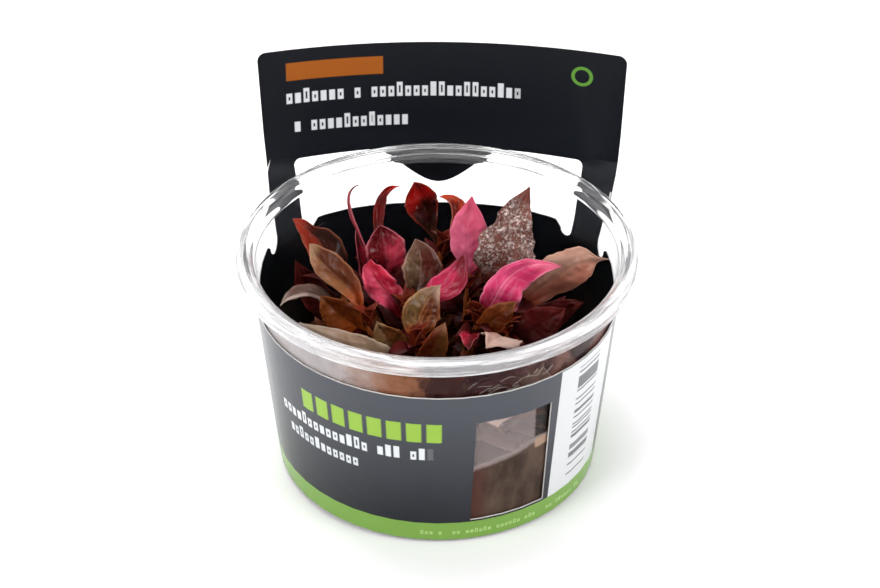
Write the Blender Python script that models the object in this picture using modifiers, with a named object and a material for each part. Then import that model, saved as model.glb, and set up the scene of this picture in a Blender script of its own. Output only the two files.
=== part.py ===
# Tissue culture cup of a red-leaved aquarium plant, in its printed card sleeve.
# Metres, +Z up. The origin is the centre of the cup's foot, on the surface that
# it stands on, and the sleeve's tall header stands at the back, towards +Y.

import math

import bmesh
import bpy
from mathutils import Vector

TURN_STEPS = 48  # facets round the cup and the gel
GAP = 0.00035  # air left between pieces that touch

# Cup: a clear tapered tub, open at the top, with a stepped brim
CUP_FOOT_RADIUS = 0.0413  # outside, where the wall's slope meets the surface
WALL_FLARE = 0.094  # the wall gains this much radius for each metre of height
WALL_THICKNESS = 0.0007
FLOOR_THICKNESS = 0.0010
FLOOR_CORNER = 0.0018  # inside, between the floor and the wall
FOOT_INSET, FOOT_BEVEL = 0.0015, 0.0004  # the foot ring's outer edge
FOOT_WALL_START = 0.0020
FOOT_RING_WIDTH = 0.0016
GROOVE_WIDTH, GROOVE_DEPTH = 0.0030, 0.0004  # under the floor, inside the foot ring
BRIM_RADIUS = 0.0505
BRIM_HEIGHT = 0.0631
BRIM_ROUNDING = 0.0006
SKIRT_DEPTH = 0.0045
SKIRT_STEP, SKIRT_STEP_DEPTH = 0.0005, 0.0023  # the skirt stands out from the brim
SKIRT_THICKNESS = 0.0007
# The brim's section, as steps outwards from the inside of the wall and down from the brim
BRIM_OVER = [(-0.0003, 0.0028), (0, 0.0018), (0.0010, 0.0013), (0.0019, 0.0003), (0.0026, 0)]
BRIM_UNDER = [(0.0027, 0.0008), (0.0017, 0.0023)]
SKIRT_INSIDE = [(0, 0.0045), (-0.0002, 0.0014), (-0.0010, 0.0008)]  # the same, from its own wall
WALL_END = 0.0038  # below the brim, where the wall's outer side starts

# Culture gel in the bottom of the cup
GEL_HEIGHT = 0.0140
GEL_EDGE_WIDTH, GEL_EDGE_RISE = 0.0012, 0.0006  # it creeps up the wall
GEL_CORNER = 0.0021

# Card sleeve: one die-cut sheet, a band round the cup and a header on two struts
CARD_THICKNESS = 0.0004
CARD_MEAN_RADIUS = 0.0449  # where the band's flat length is taken
CARD_STRIPS = 48  # folds round the band
BAND_BOTTOM = 0.0010
BAND_TOP = 0.0489
BAND_BACK_TOP = 0.0462
CARD_ASKEW = 0.010  # the card sits lower on the right by this much a metre
WINDOW_AZIMUTH = math.radians(154.8)  # from the back's middle, towards +X
WINDOW_WIDTH = 0.0204
WINDOW_BOTTOM, WINDOW_TOP = 0.0074, 0.0404
SLOT_WIDTH, OUTER_SLOT_WIDTH = 0.0034, 0.0042
INNER_SLOT_DEPTH, OUTER_SLOT_DEPTH = 0.0030, 0.0040
SLOT_MOUTH = 0.0016  # a slot's outer lip is cut away over this width
STRUT_INNER, STRUT_OUTER = 0.0394, 0.0486  # at the header
OPENING_CORNER = 0.0016
OPENING_SHIFT = -0.0010  # the opening isn't quite under the header's middle
STRUT_FOOT_INNER, STRUT_FOOT_OUTER = 0.0366, 0.0468  # at the band
HEADER_RADIUS = 0.160  # the header is far flatter than the cup
HEADER_SHIFT = 0.00135
HEADER_FRONT = 0.0518  # the header's inner face, at the brim
HEADER_LEAN = math.radians(2.5)
HEADER_BOTTOM = 0.0605
HEADER_TOP = 0.0923
HEADER_HALF_WIDTH = 0.0494  # at its top
HEADER_CORNER = 0.0022
TONGUE_HALF_WIDTH = 0.0190
TONGUE_TIP = 0.0501
BULGE = 0.0043  # how far the struts pull the band off the cup
BULGE_AZIMUTH = math.radians(48)
BULGE_REACH = math.radians(46)
BULGE_START = 0.012
STRUT_BEND_START, STRUT_BEND_END = 0.0430, 0.0605
BACK_REACH = math.radians(95)  # the curved back part of the band, each way from its middle
BACK_LEVELS = (0.018, 0.027, 0.036, 0.0424, 0.0447)
STRUT_LEVELS = (0.0485, 0.0515, 0.0545, 0.0575, 0.0605)

# Plantlets. Each stem has the place where it leaves the gel, and its top.
STEM_RADIUS = 0.0008
STEM_PIECES = 3  # straight lengths
STEMS = {
    "left_front": ((-0.013, -0.009), (-0.018, -0.012, 0.048)),
    "left": ((-0.020, 0.004), (-0.025, 0.003, 0.047)),
    "middle": ((-0.005, -0.002), (-0.0075, -0.005, 0.047)),
    "front": ((-0.003, -0.013), (-0.005, -0.020, 0.046)),
    "right": ((0.007, -0.005), (0.0105, -0.010, 0.047)),
    "right_front": ((0.014, -0.011), (0.018, -0.013, 0.046)),
    "back_left": ((-0.012, 0.010), (-0.014, 0.009, 0.049)),
    "back": ((0.001, 0.015), (0.001, 0.018, 0.051)),
    "centre_back": ((0.007, 0.003), (0.008, 0.005, 0.048)),
    "right_back": ((0.018, 0.006), (0.018, 0.005, 0.047)),
}

# Leaves. Each has its stem, the height that it grows at, the middle and the tip of its
# midrib, its width, and the direction that its upper side faces.
LEAF_THICKNESS = 0.00045
LEAF_FOLD = math.radians(14)  # the blade's halves rise this much from the midrib
LEAF_NARROWEST = 0.07  # of the width, at the base and the tip
LEAVES = {
    "tan_rim": ("front", 0.031, (-0.018, -0.027, 0.0465), (-0.034, -0.028, 0.0585), 0.014, (0, -8, 6)),
    "grey_curl": ("left", 0.04, (-0.033, 0, 0.048), (-0.04, -0.006, 0.049), 0.007, (0, -1, 3)),
    "amber_short": ("left_front", 0.044, (-0.025, -0.015, 0.0525), (-0.029, -0.015, 0.0578), 0.009, (-3, -6, 6)),
    "brown_spear": ("left_front", 0.047, (-0.025, -0.005, 0.056), (-0.033, 0.004, 0.061), 0.01, (0, -8, 6)),
    "rust_back": ("left", 0.0465, (-0.029, 0.011, 0.054), (-0.037, 0.014, 0.062), 0.01, (3, -6, 4)),
    "maroon_left": ("left", 0.035, (-0.032, 0.008, 0.042), (-0.037, 0.012, 0.05), 0.009, (2, -4, 6)),
    "pink_thread": ("back_left", 0.047, (-0.022, 0.018, 0.059), (-0.023, 0.024, 0.067), 0.0035, (9, 1, 0)),
    "crimson_narrow": ("back_left", 0.037, (-0.019, 0.009, 0.05), (-0.021, 0.011, 0.06), 0.005, (5, -3, 1)),
    "crimson_shiny": ("back_left", 0.046, (-0.013, 0.005, 0.056), (-0.015, 0.008, 0.065), 0.0105, (0, -8, 6)),
    "pink_front": ("middle", 0.042, (-0.014, -0.002, 0.051), (-0.017, 0, 0.059), 0.0095, (0, -8, 6)),
    "olive_mid": ("middle", 0.047, (-0.004, 0, 0.055), (-0.006, 0.004, 0.062), 0.0105, (1, -8, 6)),
    "pink_diagonal": ("middle", 0.0465, (0, -0.007, 0.053), (0.007, 0.002, 0.057), 0.008, (0, -8, 6)),
    "red_top": ("back", 0.049, (-0.003, 0.022, 0.059), (-0.007, 0.022, 0.07), 0.0095, (1, -8, 4)),
    "red_arc": ("back_left", 0.049, (-0.015, 0.021, 0.061), (-0.01, 0.027, 0.063), 0.005, (0, -4, 8)),
    "small_orange": ("back", 0.047, (0.006, 0.024, 0.057), (0, 0.029, 0.06), 0.005, (0, -6, 8)),
    "pink_tall": ("centre_back", 0.047, (0.008, 0.012, 0.055), (0.009, 0.016, 0.067), 0.0105, (0, -8, 4)),
    "brown_wet": ("right_back", 0.045, (0.018, 0.008, 0.058), (0.024, 0.018, 0.069), 0.0155, (0, -8, 6)),
    "pink_wavy": ("right", 0.046, (0.0175, -0.0065, 0.0563), (0.0315, -0.002, 0.0575), 0.012, (0, -8, 7)),
    "brown_long": ("right_back", 0.035, (0.033, 0.003, 0.053), (0.044, 0.003, 0.0565), 0.0105, (0, -8, 7)),
    "brown_under": ("right", 0.043, (0.015, -0.014, 0.05), (0.02, -0.014, 0.055), 0.007, (0, -8, 6)),
    "beige_front": ("right_front", 0.041, (0.016, -0.026, 0.0525), (0.012, -0.034, 0.055), 0.01, (0, -4, 8)),
    "crimson_front": ("right", 0.042, (0.008, -0.019, 0.048), (0.008, -0.028, 0.05), 0.005, (0, -3, 8)),
    "olive_front": ("front", 0.037, (-0.001, -0.026, 0.049), (0.002, -0.026, 0.057), 0.007, (2, -8, 5)),
    "streaky_green": ("front", 0.0455, (-0.004, -0.015, 0.052), (0.001, -0.011, 0.058), 0.01, (0, -8, 6)),
    "olive_left": ("front", 0.04, (-0.012, -0.018, 0.046), (-0.015, -0.017, 0.051), 0.008, (-1, -8, 6)),
    "maroon_mid": ("middle", 0.037, (-0.003, -0.011, 0.046), (0.001, -0.011, 0.052), 0.007, (0, -8, 6)),
    "dark_red_right": ("right_front", 0.043, (0.026, -0.017, 0.05), (0.032, -0.017, 0.055), 0.01, (0, -8, 6)),
    "dark_right_edge": ("right_back", 0.03, (0.03, 0.004, 0.038), (0.038, 0.003, 0.043), 0.008, (0, -5, 8)),
    "dark_centre": ("centre_back", 0.038, (0.003, 0.007, 0.043), (-0.001, 0.009, 0.05), 0.009, (0, -8, 6)),
    "low_left": ("left", 0.026, (-0.03, 0.001, 0.033), (-0.037, -0.002, 0.038), 0.009, (0, 0, 1)),
    "low_back": ("back", 0.03, (0.006, 0.025, 0.037), (0.01, 0.033, 0.043), 0.009, (0, 0, 1)),
    "low_back_left": ("back_left", 0.028, (-0.019, 0.017, 0.034), (-0.024, 0.025, 0.04), 0.009, (0, 0, 1)),
    "low_right": ("right_back", 0.026, (0.026, 0.009, 0.032), (0.034, 0.013, 0.038), 0.009, (0, 0, 1)),
    "low_front": ("front", 0.022, (-0.002, -0.024, 0.026), (-0.002, -0.034, 0.03), 0.009, (0, 0, 1)),
    "window_left": ("right_front", 0.023, (0.014, -0.0255, 0.0305), (0.015, -0.0385, 0.0345), 0.0135, (0, -4, 8)),
    "window_middle": ("right_front", 0.018, (0.016, -0.026, 0.0205), (0.018, -0.0375, 0.0265), 0.012, (2, -6, 6)),
    "window_right": ("right_front", 0.03, (0.0235, -0.021, 0.037), (0.0285, -0.029, 0.0425), 0.01, (5, -6, 4)),
}
LEAF_COLOURS = {
    "tan": (0.42, 0.27, 0.17),
    "grey": (0.30, 0.24, 0.27),
    "amber": (0.45, 0.20, 0.06),
    "brown": (0.27, 0.12, 0.08),
    "rust": (0.45, 0.10, 0.04),
    "maroon": (0.12, 0.02, 0.03),
    "pink": (0.66, 0.16, 0.24),
    "crimson": (0.28, 0.02, 0.04),
    "olive": (0.21, 0.18, 0.07),
    "red": (0.55, 0.05, 0.06),
    "small": (0.62, 0.20, 0.08),
    "beige": (0.55, 0.38, 0.32),
    "streaky": (0.24, 0.25, 0.08),
    "dark": (0.07, 0.02, 0.03),
    "low": (0.20, 0.17, 0.06),
    "window": (0.40, 0.26, 0.18),
}


def smooth(t):
    t = min(max(t, 0.0), 1.0)
    return t * t * (3 - 2 * t)


def make_material(name, colour, roughness, alpha=1.0):
    material = bpy.data.materials.new(name)
    material.use_nodes = True
    shader = material.node_tree.nodes["Principled BSDF"]
    shader.inputs["Base Color"].default_value = (*colour, 1)
    shader.inputs["Roughness"].default_value = roughness
    shader.inputs["Metallic"].default_value = 0
    shader.inputs["Alpha"].default_value = alpha
    return material


def add_object(name, mesh, collection, material):
    obj = bpy.data.objects.new(name, mesh)
    obj.data.materials.clear()
    obj.data.materials.append(material)
    collection.objects.link(obj)
    return obj


def turned(name, outline, collection, material):
    """A closed body turned round Z from an outline of (radius, height) points."""
    mesh = bpy.data.meshes.new(name)
    points = [(radius, 0, height) for radius, height in outline]
    mesh.from_pydata(points, [(i, i + 1) for i in range(len(points) - 1)], [])
    obj = add_object(name, mesh, collection, material)
    screw = obj.modifiers.new("Turn", "SCREW")
    screw.steps = screw.render_steps = TURN_STEPS
    screw.use_merge_vertices = True
    screw.merge_threshold = 0.00001
    screw.use_smooth_shade = True
    return obj


def wall_radius(height):
    """The cup's outer radius at a height."""
    return CUP_FOOT_RADIUS + WALL_FLARE * height


def make_cup(collection):
    """Outline from the middle of the inner floor, up the wall, over the brim and down."""
    inner_foot = wall_radius(FLOOR_THICKNESS) - WALL_THICKNESS
    brim_inner = wall_radius(BRIM_HEIGHT) - WALL_THICKNESS
    skirt_radius = BRIM_RADIUS + SKIRT_STEP
    skirt_inner = skirt_radius - SKIRT_THICKNESS
    wall_top = BRIM_HEIGHT - WALL_END
    foot_radius = CUP_FOOT_RADIUS - FOOT_INSET
    groove_outer = foot_radius - FOOT_RING_WIDTH
    groove_inner = groove_outer - GROOVE_WIDTH
    inside = [
        (0, FLOOR_THICKNESS),
        (inner_foot - FLOOR_CORNER, FLOOR_THICKNESS),
        (inner_foot, FLOOR_THICKNESS + FLOOR_CORNER),
    ]
    inside += [(brim_inner + out, BRIM_HEIGHT - down) for out, down in BRIM_OVER]
    brim = [
        (BRIM_RADIUS - BRIM_ROUNDING, BRIM_HEIGHT),
        (BRIM_RADIUS, BRIM_HEIGHT - BRIM_ROUNDING),
        (BRIM_RADIUS, BRIM_HEIGHT - BRIM_OVER[1][1]),
        (skirt_radius, BRIM_HEIGHT - SKIRT_STEP_DEPTH),
        (skirt_radius, BRIM_HEIGHT - SKIRT_DEPTH),
    ]
    brim += [(skirt_inner + out, BRIM_HEIGHT - down) for out, down in SKIRT_INSIDE]
    brim += [(brim_inner + out, BRIM_HEIGHT - down) for out, down in BRIM_UNDER]
    outside = [
        (wall_radius(wall_top), wall_top),
        (wall_radius(FOOT_WALL_START), FOOT_WALL_START),
        (foot_radius + FOOT_BEVEL, FOOT_BEVEL),
        (foot_radius - FOOT_BEVEL, 0),
        (groove_outer, 0),
        (groove_outer - GROOVE_DEPTH, GROOVE_DEPTH),
        (groove_inner + GROOVE_DEPTH, GROOVE_DEPTH),
        (groove_inner, 0),
        (0, 0),
    ]
    material = make_material("clear_plastic", (0.90, 0.93, 0.94), 0.12, 0.25)
    return turned("cup", inside + brim + outside, collection, material)


def make_gel(collection):
    bottom = FLOOR_THICKNESS + GAP
    top_radius = wall_radius(GEL_HEIGHT) - WALL_THICKNESS - GAP
    bottom_radius = wall_radius(bottom) - WALL_THICKNESS - GAP
    outline = [
        (0, GEL_HEIGHT),
        (top_radius - GEL_EDGE_WIDTH, GEL_HEIGHT),
        (top_radius, GEL_HEIGHT + GEL_EDGE_RISE),
        (bottom_radius + WALL_FLARE * GEL_CORNER, bottom + GEL_CORNER),
        (bottom_radius - GEL_CORNER, bottom),
        (0, bottom),
    ]
    material = make_material("culture_gel", (0.62, 0.50, 0.34), 0.25, 0.6)
    return turned("culture_gel", outline, collection, material)


def arc(centre, radius, start, end, steps):
    """Points on an arc, from one angle to the other, in degrees."""
    return [
        (
            centre[0] + radius * math.cos(math.radians(start + (end - start) * i / steps)),
            centre[1] + radius * math.sin(math.radians(start + (end - start) * i / steps)),
        )
        for i in range(steps + 1)
    ]


def mirrored(points):
    """The same points on the card's other half, in the opposite order."""
    return [(-along, height) for along, height in reversed(points)]


def slot_floor(inner_side, outer_side, bottom):
    """The round end of a slot, from its inner side to its outer side."""
    middle = (inner_side + outer_side) / 2
    radius = (outer_side - inner_side) / 2
    return arc((middle, bottom + radius), radius, 180, 360, 6)


def card_outline():
    """The sheet's outer edge, flat: along the band from the back's middle, and up."""
    half = math.pi * CARD_MEAN_RADIUS
    slot_side = STRUT_FOOT_OUTER + OUTER_SLOT_WIDTH
    outer_slot = slot_floor(STRUT_FOOT_OUTER, slot_side, BAND_TOP - OUTER_SLOT_DEPTH)
    corner = HEADER_CORNER
    right = [(half, BAND_TOP), (slot_side + SLOT_MOUTH, BAND_TOP), (slot_side, BAND_TOP - 0.0012)]
    right += list(reversed(outer_slot))
    right += [
        (STRUT_FOOT_OUTER + 0.0006, BAND_TOP + 0.0020),
        (STRUT_OUTER - 0.0006, HEADER_BOTTOM - 0.0020),
        (STRUT_OUTER, HEADER_BOTTOM + 0.0080),
    ]
    right += arc((HEADER_HALF_WIDTH - corner, HEADER_TOP - corner), corner, 0, 90, 5)
    bottom = [(-half, BAND_BOTTOM), (half, BAND_BOTTOM)]
    return bottom + right + mirrored(right)


def card_opening():
    """The opening under the header: the tongue above, the slotted band below."""
    slot = slot_floor(STRUT_FOOT_INNER - SLOT_WIDTH, STRUT_FOOT_INNER, BAND_BACK_TOP - INNER_SLOT_DEPTH)
    corner = OPENING_CORNER
    below = [(STRUT_FOOT_INNER - SLOT_WIDTH - SLOT_MOUTH, BAND_BACK_TOP + 0.0004)]
    below += slot
    below += [(STRUT_FOOT_INNER + 0.0004, BAND_BACK_TOP + 0.0014)]
    above = arc((STRUT_INNER - corner, HEADER_BOTTOM - corner - 0.0008), corner, 0, 90, 4)
    steps = 10
    for i in range(steps + 1):
        across = i / steps
        drop = (HEADER_BOTTOM - TONGUE_TIP) * smooth(across)
        above.append((TONGUE_HALF_WIDTH * (1 - across), HEADER_BOTTOM - drop))
    above += mirrored(above)[1:]
    above = [(along + OPENING_SHIFT, height) for along, height in above]
    return below + above + mirrored(below)


def card_window():
    """A window with parallel sides, so it takes a larger angle near the cup's foot."""
    corners = []
    for side, height in ((-1, WINDOW_BOTTOM), (1, WINDOW_BOTTOM), (1, WINDOW_TOP), (-1, WINDOW_TOP)):
        half_angle = WINDOW_WIDTH / 2 / wall_radius(height)
        corners.append(((WINDOW_AZIMUTH + side * half_angle) * CARD_MEAN_RADIUS, height))
    return corners


def band_point(along, height):
    """A place on the band, or on its slope carried on upwards."""
    azimuth = along / CARD_MEAN_RADIUS
    reach = (abs(azimuth) - BULGE_AZIMUTH) / BULGE_REACH
    pull = math.cos(reach * math.pi / 2) ** 2 if abs(reach) < 1 else 0
    rise = smooth((height - BULGE_START) / (BAND_TOP - BULGE_START))
    radius = wall_radius(height) + GAP + BULGE * pull * rise
    return Vector((radius * math.sin(azimuth), radius * math.cos(azimuth), height))


def header_point(along, height):
    turn = along / HEADER_RADIUS
    depth = HEADER_FRONT + (height - HEADER_BOTTOM) * math.tan(HEADER_LEAN)
    return Vector((
        HEADER_SHIFT + HEADER_RADIUS * math.sin(turn),
        depth - HEADER_RADIUS * (1 - math.cos(turn)),
        height,
    ))


def card_point(along, height):
    """Where a place on the flat sheet goes once the card is on the cup."""
    share = smooth((height - STRUT_BEND_START) / (STRUT_BEND_END - STRUT_BEND_START))
    half_slot = SLOT_WIDTH / 2
    on_strut = STRUT_FOOT_INNER - half_slot < abs(along) < STRUT_FOOT_OUTER + half_slot
    if height < BAND_TOP + 0.0005 and not on_strut:
        share = 0
    elif height > BAND_TOP:
        share = max(share, smooth((STRUT_FOOT_INNER - abs(along)) / TONGUE_HALF_WIDTH * 1.5))
    point = band_point(along, height).lerp(header_point(along, height), share)
    point.z -= CARD_ASKEW * point.x
    return point


def flat_sheet(outlines):
    """A filled flat sheet, in the XY plane, from closed outlines."""
    curve = bpy.data.curves.new("card_outline", "CURVE")
    curve.dimensions = "2D"
    curve.fill_mode = "BOTH"
    for outline in outlines:
        spline = curve.splines.new("POLY")
        spline.points.add(len(outline) - 1)
        for point, (along, height) in zip(spline.points, outline):
            point.co = (along, height, 0, 1)
        spline.use_cyclic_u = True
    source = bpy.data.objects.new("card_outline", curve)
    bpy.context.scene.collection.objects.link(source)
    evaluated = source.evaluated_get(bpy.context.evaluated_depsgraph_get())
    mesh = bpy.data.meshes.new_from_object(evaluated)
    bpy.data.objects.remove(source)
    return mesh


def score_sheet(sheet, folds, levels):
    """Cut the sheet along its folds, and drop the edges and points that are on no fold."""
    for fold in folds:
        everything = sheet.verts[:] + sheet.edges[:] + sheet.faces[:]
        bmesh.ops.bisect_plane(sheet, geom=everything, dist=1e-6, plane_co=(fold, 0, 0), plane_no=(1, 0, 0))
    for level, reach in levels:
        faces = [f for f in sheet.faces if abs(f.calc_center_median().x) < reach]
        edges = list({e for f in faces for e in f.edges})
        verts = list({v for f in faces for v in f.verts})
        bmesh.ops.bisect_plane(sheet, geom=verts + edges + faces, dist=1e-6,
                               plane_co=(0, level, 0), plane_no=(0, 1, 0))
    heights = [level for level, _ in levels]

    def on_a_line(edge):
        a, b = (v.co for v in edge.verts)
        upright = abs(a.x - b.x) < 1e-6 and min(abs(a.x - f) for f in folds) < 1e-5
        level = abs(a.y - b.y) < 1e-6 and min(abs(a.y - h) for h in heights) < 1e-5
        return upright or level

    spare = [e for e in sheet.edges if len(e.link_faces) == 2 and not on_a_line(e)]
    bmesh.ops.dissolve_edges(sheet, edges=spare, use_verts=False)
    straight = [v for v in sheet.verts if len(v.link_edges) == 2 and v.calc_edge_angle(0) < 0.001]
    bmesh.ops.dissolve_verts(sheet, verts=straight)


def make_sleeve(collection):
    mesh = flat_sheet([card_outline(), card_opening(), card_window()])
    sheet = bmesh.new()
    sheet.from_mesh(mesh)
    bmesh.ops.remove_doubles(sheet, verts=sheet.verts, dist=1e-6)
    half = math.pi * CARD_MEAN_RADIUS
    folds = [half * (2 * i / CARD_STRIPS - 1) for i in range(1, CARD_STRIPS)]
    levels = [(height, BACK_REACH * CARD_MEAN_RADIUS) for height in BACK_LEVELS]
    levels += [(height, HEADER_HALF_WIDTH + 0.001) for height in STRUT_LEVELS]
    score_sheet(sheet, folds, levels)
    for vert in sheet.verts:
        vert.co = card_point(vert.co.x, vert.co.y)
    bmesh.ops.remove_doubles(sheet, verts=sheet.verts, dist=1e-5)
    bmesh.ops.recalc_face_normals(sheet, faces=sheet.faces)
    lowest = min(sheet.faces, key=lambda f: f.calc_center_median().y)
    if lowest.normal.y > 0:
        bmesh.ops.reverse_faces(sheet, faces=sheet.faces)
    sheet.to_mesh(mesh)
    sheet.free()
    material = make_material("printed_card", (0.012, 0.016, 0.024), 0.35)
    obj = add_object("card_sleeve", mesh, collection, material)
    solid = obj.modifiers.new("Thickness", "SOLIDIFY")
    solid.thickness = CARD_THICKNESS
    solid.offset = 1
    return obj


def stem_point(stem, height):
    """A place on a stem's axis: it leaves the gel nearly upright, then leans."""
    (foot_x, foot_y), (top_x, top_y, top_z) = STEMS[stem]
    share = (height - GEL_HEIGHT) / (top_z - GEL_HEIGHT)
    lean = share * (1 + share) / 2
    return Vector((foot_x + (top_x - foot_x) * lean, foot_y + (top_y - foot_y) * lean, height))


def make_stem(stem, collection, material):
    curve = bpy.data.curves.new(f"stem_{stem}", "CURVE")
    curve.dimensions = "3D"
    curve.bevel_depth = STEM_RADIUS
    curve.bevel_resolution = 1
    curve.use_fill_caps = True
    spline = curve.splines.new("POLY")
    spline.points.add(STEM_PIECES)
    bottom, top = GEL_HEIGHT + 1.4 * GAP, STEMS[stem][1][2]
    for i, point in enumerate(spline.points):
        point.co = (*stem_point(stem, bottom + (top - bottom) * i / STEM_PIECES), 1)
    curve.materials.append(material)
    collection.objects.link(bpy.data.objects.new(f"stem_{stem}", curve))


def leaf_profile(share):
    """A leaf's width along its midrib, as a share of its full width."""
    swell = max(0, math.sin(math.pi * share ** 0.85)) ** 0.9
    return max(LEAF_NARROWEST, swell * (1 - 0.25 * share ** 3))


def leaf_point(leaf, across, share):
    """A place on a leaf's blade: across runs from -1 to 1, share from base to tip."""
    stem, height, middle, tip, width, facing = LEAVES[leaf]
    axis, middle, tip = stem_point(stem, height), Vector(middle), Vector(tip)
    outward = Vector((middle.x - axis.x, middle.y - axis.y, 0)).normalized()
    base = axis + outward * (STEM_RADIUS + GAP + LEAF_THICKNESS)
    handle = 2 * middle - (base + tip) / 2
    midrib = base * (1 - share) ** 2 + handle * 2 * share * (1 - share) + tip * share ** 2
    along = ((handle - base) * (1 - share) + (tip - handle) * share).normalized()
    normal = Vector(facing).normalized()
    normal = (normal - along * normal.dot(along)).normalized()
    side = along.cross(normal)
    half_width = width / 2 * leaf_profile(share)
    rise = normal * abs(across) * math.sin(LEAF_FOLD)
    return midrib + (side * across * math.cos(LEAF_FOLD) + rise) * half_width


def make_leaf(leaf, collection, material):
    blade = bmesh.new()
    bmesh.ops.create_grid(blade, x_segments=2, y_segments=7, size=1)
    for vert in blade.verts:
        vert.co = leaf_point(leaf, vert.co.x, (vert.co.y + 1) / 2)
    mesh = bpy.data.meshes.new(f"leaf_{leaf}")
    blade.to_mesh(mesh)
    blade.free()
    obj = add_object(f"leaf_{leaf}", mesh, collection, material)
    solid = obj.modifiers.new("Thickness", "SOLIDIFY")
    solid.thickness = LEAF_THICKNESS
    solid.offset = 0


def make_plants(collection):
    stem_material = make_material("stem", (0.42, 0.16, 0.07), 0.45)
    for stem in STEMS:
        make_stem(stem, collection, stem_material)
    materials = {}
    for leaf in LEAVES:
        colour = leaf.split("_")[0]
        if colour not in materials:
            materials[colour] = make_material(f"leaf_{colour}", LEAF_COLOURS[colour], 0.42)
        make_leaf(leaf, collection, materials[colour])


def main():
    for obj in list(bpy.data.objects):
        bpy.data.objects.remove(obj)
    collection = bpy.data.collections.new("alternanthera_cup")
    bpy.context.scene.collection.children.link(collection)
    make_cup(collection)
    make_gel(collection)
    make_sleeve(collection)
    make_plants(collection)


main()
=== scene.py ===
# Red aquarium plants in a clear culture cup, with its printed card sleeve.
import math
import random

import bmesh
import bpy
from mathutils import Matrix, Vector, noise


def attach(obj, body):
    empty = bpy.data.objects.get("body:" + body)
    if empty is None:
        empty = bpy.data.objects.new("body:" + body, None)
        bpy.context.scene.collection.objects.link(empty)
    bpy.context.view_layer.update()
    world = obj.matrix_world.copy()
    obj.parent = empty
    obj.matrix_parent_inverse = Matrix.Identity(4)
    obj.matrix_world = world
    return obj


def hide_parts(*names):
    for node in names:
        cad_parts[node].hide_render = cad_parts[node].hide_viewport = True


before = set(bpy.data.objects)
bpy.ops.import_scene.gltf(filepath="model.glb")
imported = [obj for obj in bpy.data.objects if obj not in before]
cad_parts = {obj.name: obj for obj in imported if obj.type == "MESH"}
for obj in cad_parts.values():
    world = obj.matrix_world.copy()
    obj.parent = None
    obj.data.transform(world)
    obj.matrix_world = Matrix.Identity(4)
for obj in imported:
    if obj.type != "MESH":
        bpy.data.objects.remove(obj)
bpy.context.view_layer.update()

bpy.context.scene.view_settings.view_transform = "Standard"


# Node maths, for shaders and for Geometry Nodes

def plug(tree, term, port):
    if isinstance(term, Wire):
        tree.links.new(term.socket, port)
    else:
        port.default_value = term


def mathsNode(tree, operation, *terms):
    node = tree.nodes.new("ShaderNodeMath")
    node.operation = operation
    for port, term in zip(node.inputs, terms):
        plug(tree, term, port)
    return Wire(tree, node.outputs[0])


class Wire:
    # one socket, on which Python's own operators add Math nodes
    def __init__(self, tree, socket):
        self.tree, self.socket = tree, socket

    def __add__(self, other):
        return mathsNode(self.tree, "ADD", self, other)

    def __radd__(self, other):
        return mathsNode(self.tree, "ADD", other, self)

    def __sub__(self, other):
        return mathsNode(self.tree, "SUBTRACT", self, other)

    def __rsub__(self, other):
        return mathsNode(self.tree, "SUBTRACT", other, self)

    def __mul__(self, other):
        return mathsNode(self.tree, "MULTIPLY", self, other)

    def __rmul__(self, other):
        return mathsNode(self.tree, "MULTIPLY", other, self)

    def __truediv__(self, other):
        return mathsNode(self.tree, "DIVIDE", self, other)

    def __abs__(self):
        return mathsNode(self.tree, "ABSOLUTE", self)

    def call(self, operation, *others):
        return mathsNode(self.tree, operation, self, *others)

    def between(self, low, high):
        # 0 below low, 1 above high, smooth from one to the other
        node = self.tree.nodes.new("ShaderNodeMapRange")
        node.interpolation_type = "SMOOTHSTEP"
        for name, term in (("Value", self), ("From Min", low), ("From Max", high)):
            plug(self.tree, term, node.inputs[name])
        return Wire(self.tree, node.outputs[0])

    def band(self, low, high, soft):
        # 1 from low to high, 0 outside them
        return self.between(low - soft, low + soft) * (1 - self.between(high - soft, high + soft))


class Bench:
    # a node tree, and the one way to add a node to it
    def __init__(self, tree):
        self.tree = tree

    def node(self, kind, settings=None, sockets=None, output=0):
        made = self.tree.nodes.new(kind)
        for key, value in (settings or {}).items():
            setattr(made, key, value)
        for key, term in (sockets or {}).items():
            plug(self.tree, term, made.inputs[key])
        return Wire(self.tree, made.outputs[output]) if made.outputs else None

    def split(self, vector):
        return [self.node("ShaderNodeSeparateXYZ", None, {0: vector}, i) for i in range(3)]


class Finish(Bench):
    # one material
    def __init__(self, name):
        self.material = bpy.data.materials.new(name)
        self.material.use_nodes = True
        super().__init__(self.material.node_tree)
        self.tree.nodes.clear()

    def place(self):
        return self.node("ShaderNodeTexCoord", output="Object")

    def mix(self, first, second, share):
        first, second = [c if isinstance(c, Wire) else (*c, 1) for c in (first, second)]
        return self.node("ShaderNodeMix", {"data_type": "RGBA"}, {0: share, 6: first, 7: second}, 2)

    def grain(self, where, scale, detail=3, rough=0.5, stretch=None):
        if stretch:
            where = self.node("ShaderNodeMapping", None, {"Vector": where, "Scale": stretch})
        return self.node("ShaderNodeTexNoise", None, {
            "Vector": where, "Scale": scale, "Detail": detail, "Roughness": rough})

    def chance(self, number):
        # the same random share each time for the same whole number
        return self.node("ShaderNodeTexWhiteNoise", {"noise_dimensions": "1D"}, {"W": number})

    def bump(self, height, distance):
        return self.node("ShaderNodeBump", None, {"Height": height, "Distance": distance})

    def skin(self, **sockets):
        named = {key.replace("_", " "): value for key, value in sockets.items()}
        for key, value in named.items():
            if isinstance(value, tuple):
                named[key] = (*value, 1)
        return self.node("ShaderNodeBsdfPrincipled", None, named)

    def done(self, surface):
        self.node("ShaderNodeOutputMaterial", None, {"Surface": surface})
        return self.material


# Camera, floor and studio light

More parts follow.
